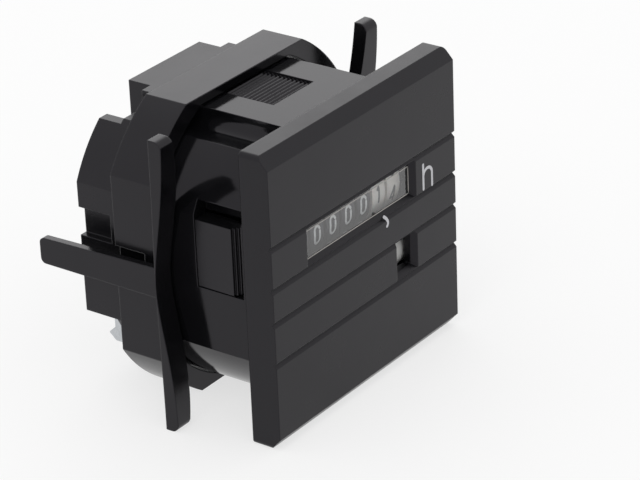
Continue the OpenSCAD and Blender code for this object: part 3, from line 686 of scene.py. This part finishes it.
for number, reading in enumerate(READING, 1):
    low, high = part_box(f"number_wheel_{number}")
    middle = (low + high) / 2 / MM
    parts = []
    for digit, strokes in enumerate(DIGITS):
        for index, path in enumerate(strokes):
            stroke = resample(path * DIGIT_SHARES + (0, DIGIT_DROP), STROKE_STEP)
            points, faces = ribbon(stroke, INK_WIDTH, INK_THICK, index * STROKE_LIFT)
            turn = (digit - reading) * DIGIT_TURN
            laid = wrap(points, middle.x, (middle.y, middle.z), WHEEL_RADIUS - INK_SUNK, turn)
            parts.append((laid * MM, faces))
    colour = DARK_INK if number >= FIRST_WHITE else WHITE_INK
    printed(f"wheel_digits_{number}", parts, colour, f"wheel_{number}")
print("digits on wheels of radius", round(WHEEL_RADIUS, 2), "mm")

# %% [markdown]
# ## Painted highlights on the lens's edges
# Light leaves a clear moulding at its edges, so thin pale lines run along three
# edges of what is seen of the lens. Each is a painted highlight: a thin pale
# ribbon that lies on the lens's front.

# %% Lens edges
low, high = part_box("window_lens")
EDGE_WIDTH, EDGE_STEP, EDGE_LIFT = 0.16, 0.4, 0.02
EDGE_SEEN, EDGE_TOP = 0.85, 1.2
x0, x1 = low.x / MM + EDGE_SEEN, high.x / MM - EDGE_SEEN
z0, z1 = low.z / MM + EDGE_SEEN, high.z / MM - EDGE_TOP
# Painted highlight: a pale colour on thin ribbons, standing in for light on the lens's rounded edges.
LENS_EDGE_HIGHLIGHT = ink("Painted lens edge highlight", "#b8b4b0", 0.25)
parts = []
for path in (line((x0, z0), (x1, z0)), line((x0, z1), (x1, z1)), line((x1, z0), (x1, z1))):
    points, faces = ribbon(resample(path, EDGE_STEP), EDGE_WIDTH, INK_THICK)
    laid = np.stack([points[:, 0], low.y / MM - EDGE_LIFT - points[:, 2], points[:, 1]], 1)
    parts.append((laid * MM, faces))
printed("lens_edge_highlights", parts, LENS_EDGE_HIGHLIGHT, "housing")

# %% [markdown]
# ## Signs on the front
# The unit h stands right of the counter, and a comma below the gap between the
# black and the white wheels. Both are pale grey ink on the flat front.

# %% Print the front
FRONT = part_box("front_housing")[0].y / MM
SIGN_WIDTH, SIGN_STEP = 0.5, 0.1
SIGN_INK = ink("Pale grey tampo ink", "#d4d4d8", 0.5)


def curve(start, first, second, end, count=24):
    """Points on a cubic curve, where each given point weighs as its term of (1 - t + t) cubed."""
    t = np.linspace(0, 1, count)[:, None]
    a, b, c, d = (np.array(p, float) for p in (start, first, second, end))
    return (1 - t) ** 3 * a + 3 * (1 - t) ** 2 * t * b + 3 * (1 - t) * t ** 2 * c + t ** 3 * d


unit_strokes = [line((15.2, 7.9), (15.2, 3.3)),
                np.vstack([arc(16.38, 5.6, 1.18, 1.15, 180, 0), line((17.56, 5.6), (17.56, 3.15))])]
comma_strokes = [curve((4.16, 3.43), (5.1, 2.75), (6.0, 1.75), (4.95, 1.25))]


def on_front(points):
    """Flat points (x, z, height) laid on the front face, with the height towards -Y."""
    return np.stack([points[:, 0], FRONT + INK_SUNK - points[:, 2], points[:, 1]], 1)


for name, strokes in (("unit_print", unit_strokes), ("comma_print", comma_strokes)):
    parts = []
    for index, path in enumerate(strokes):
        points, faces = ribbon(resample(path, SIGN_STEP), SIGN_WIDTH, INK_THICK, index * STROKE_LIFT)
        parts.append((on_front(points) * MM, faces))
    printed(name, parts, SIGN_INK, "housing")
print("front at", round(FRONT, 2), "mm")

# %% [markdown]
# ## The running indicator
# A small drum turns behind the lower window to show that the meter runs. It is
# printed with a white spiral band, so that a moving white patch is seen. The
# share of a turn round the drum is found with an arctangent of the place about
# its axis, and a slope along X makes the band a spiral.

# %% Indicator drum
SPIRAL_SLOPE = -0.06
BAND_START = 0.62
low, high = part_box("running_indicator")
axis_y, axis_z = (low.y + high.y) / 2, (low.z + high.z) / 2
drum, tree, output, place = new_material("Black drum with a white printed spiral")
apart = add_node(tree, "SeparateXYZ", {"Vector": place})
from_y = maths(tree, "SUBTRACT", apart.outputs["Y"], axis_y)
from_z = maths(tree, "SUBTRACT", apart.outputs["Z"], axis_z)
share = maths(tree, "DIVIDE", maths(tree, "ARCTAN2", from_z, from_y), 2 * np.pi)
spiral = maths(tree, "MULTIPLY_ADD", apart.outputs["X"], SPIRAL_SLOPE / MM, share)
band = add_node(tree, "ValToRGB", {"Fac": maths(tree, "FRACT", spiral)})
band.color_ramp.interpolation = "CONSTANT"
band.color_ramp.elements[0].color = linear("#1c1c1e")
band.color_ramp.elements[1].position = BAND_START
band.color_ramp.elements[1].color = linear("#e4e4e2")
surface(tree, output, {"Base Color": band.outputs["Color"], "Roughness": 0.45})
give(drum, "running_indicator")

# %% [markdown]
# ## Table and light
# The meter stands on a white table in a white tent, with one large lamp behind
# and above it and a smaller one on the left. The table is white to the eye and in
# reflections, and it keeps a soft shadow, because part of its white comes from
# the light that falls on it.

# %% Table
FLOOR_SPAN = 3.0
SHADOWED_WHITE, GLOW = 0.35, 0.68


def seen_share(tree):
    """1 for rays from the camera, from a mirror or through glass, and 0 for other rays."""
    rays = add_node(tree, "LightPath")
    seen = maths(tree, "MAXIMUM", rays.outputs["Is Camera Ray"], rays.outputs["Is Glossy Ray"])
    return maths(tree, "MAXIMUM", seen, rays.outputs["Is Transmission Ray"])


def shown_as(tree, output, unseen, seen):
    """One shader for the rays that light the meter and another for those that see."""
    mix = add_node(tree, "MixShader", {"Fac": seen_share(tree), 1: unseen, 2: seen})
    tree.links.new(mix.outputs["Shader"], output.inputs["Surface"])


floor_height = cad_box[0].z
corners = np.array([(-1, -1), (1, -1), (1, 1), (-1, 1)]) * FLOOR_SPAN
floor_mesh = bpy.data.meshes.new("table")
floor_mesh.from_pydata([(x, y, floor_height) for x, y in corners.tolist()], [], [(0, 1, 2, 3)])
table = bpy.data.objects.new("table", floor_mesh)
bpy.context.scene.collection.objects.link(table)

paper, tree, output, place = new_material("White table")
plain = add_node(tree, "BsdfDiffuse", {"Color": linear("#e8e8e8")})
faint = add_node(tree, "BsdfDiffuse", {"Color": (SHADOWED_WHITE,) * 3 + (1,)})
glow = add_node(tree, "Emission", {"Color": WHITE, "Strength": GLOW})
white = add_node(tree, "AddShader", {0: faint.outputs["BSDF"], 1: glow.outputs["Emission"]})
shown_as(tree, output, plain.outputs["BSDF"], white.outputs["Shader"])
floor_mesh.materials.append(paper)
print("table at", round(floor_height / MM, 2), "mm")

# %% World
TENT_LIGHT, TENT_SEEN = 0.75, 1.0
world = bpy.data.worlds.new("white_tent")
bpy.context.scene.world = world
world.use_nodes = True
tree = world.node_tree
tree.nodes.clear()
output = add_node(tree, "OutputWorld")
lighting = add_node(tree, "Background", {"Color": WHITE, "Strength": TENT_LIGHT})
tent = add_node(tree, "Background", {"Color": WHITE, "Strength": TENT_SEEN})
shown_as(tree, output, lighting.outputs["Background"], tent.outputs["Background"])
print("white tent, strength", TENT_LIGHT)

# %% Lamps
LAMP_AIM = Vector((0, 0.01, 0))


def softbox(name, place, size, power):
    """A square lamp at a place in metres that faces the meter."""
    data = bpy.data.lights.new(name, "AREA")
    data.shape = "SQUARE"
    data.size = size
    data.energy = power
    lamp = bpy.data.objects.new(name, data)
    bpy.context.scene.collection.objects.link(lamp)
    lamp.location = place
    lamp.rotation_mode = "QUATERNION"
    lamp.rotation_quaternion = (LAMP_AIM - Vector(place)).to_track_quat("-Z", "Y")
    print(name, power, "W")


softbox("back_softbox", (1.15, 0.86, 0.72), 1.1, 3.0)
softbox("left_softbox", (-1.3, -0.2, 1.3), 0.9, 3.0)
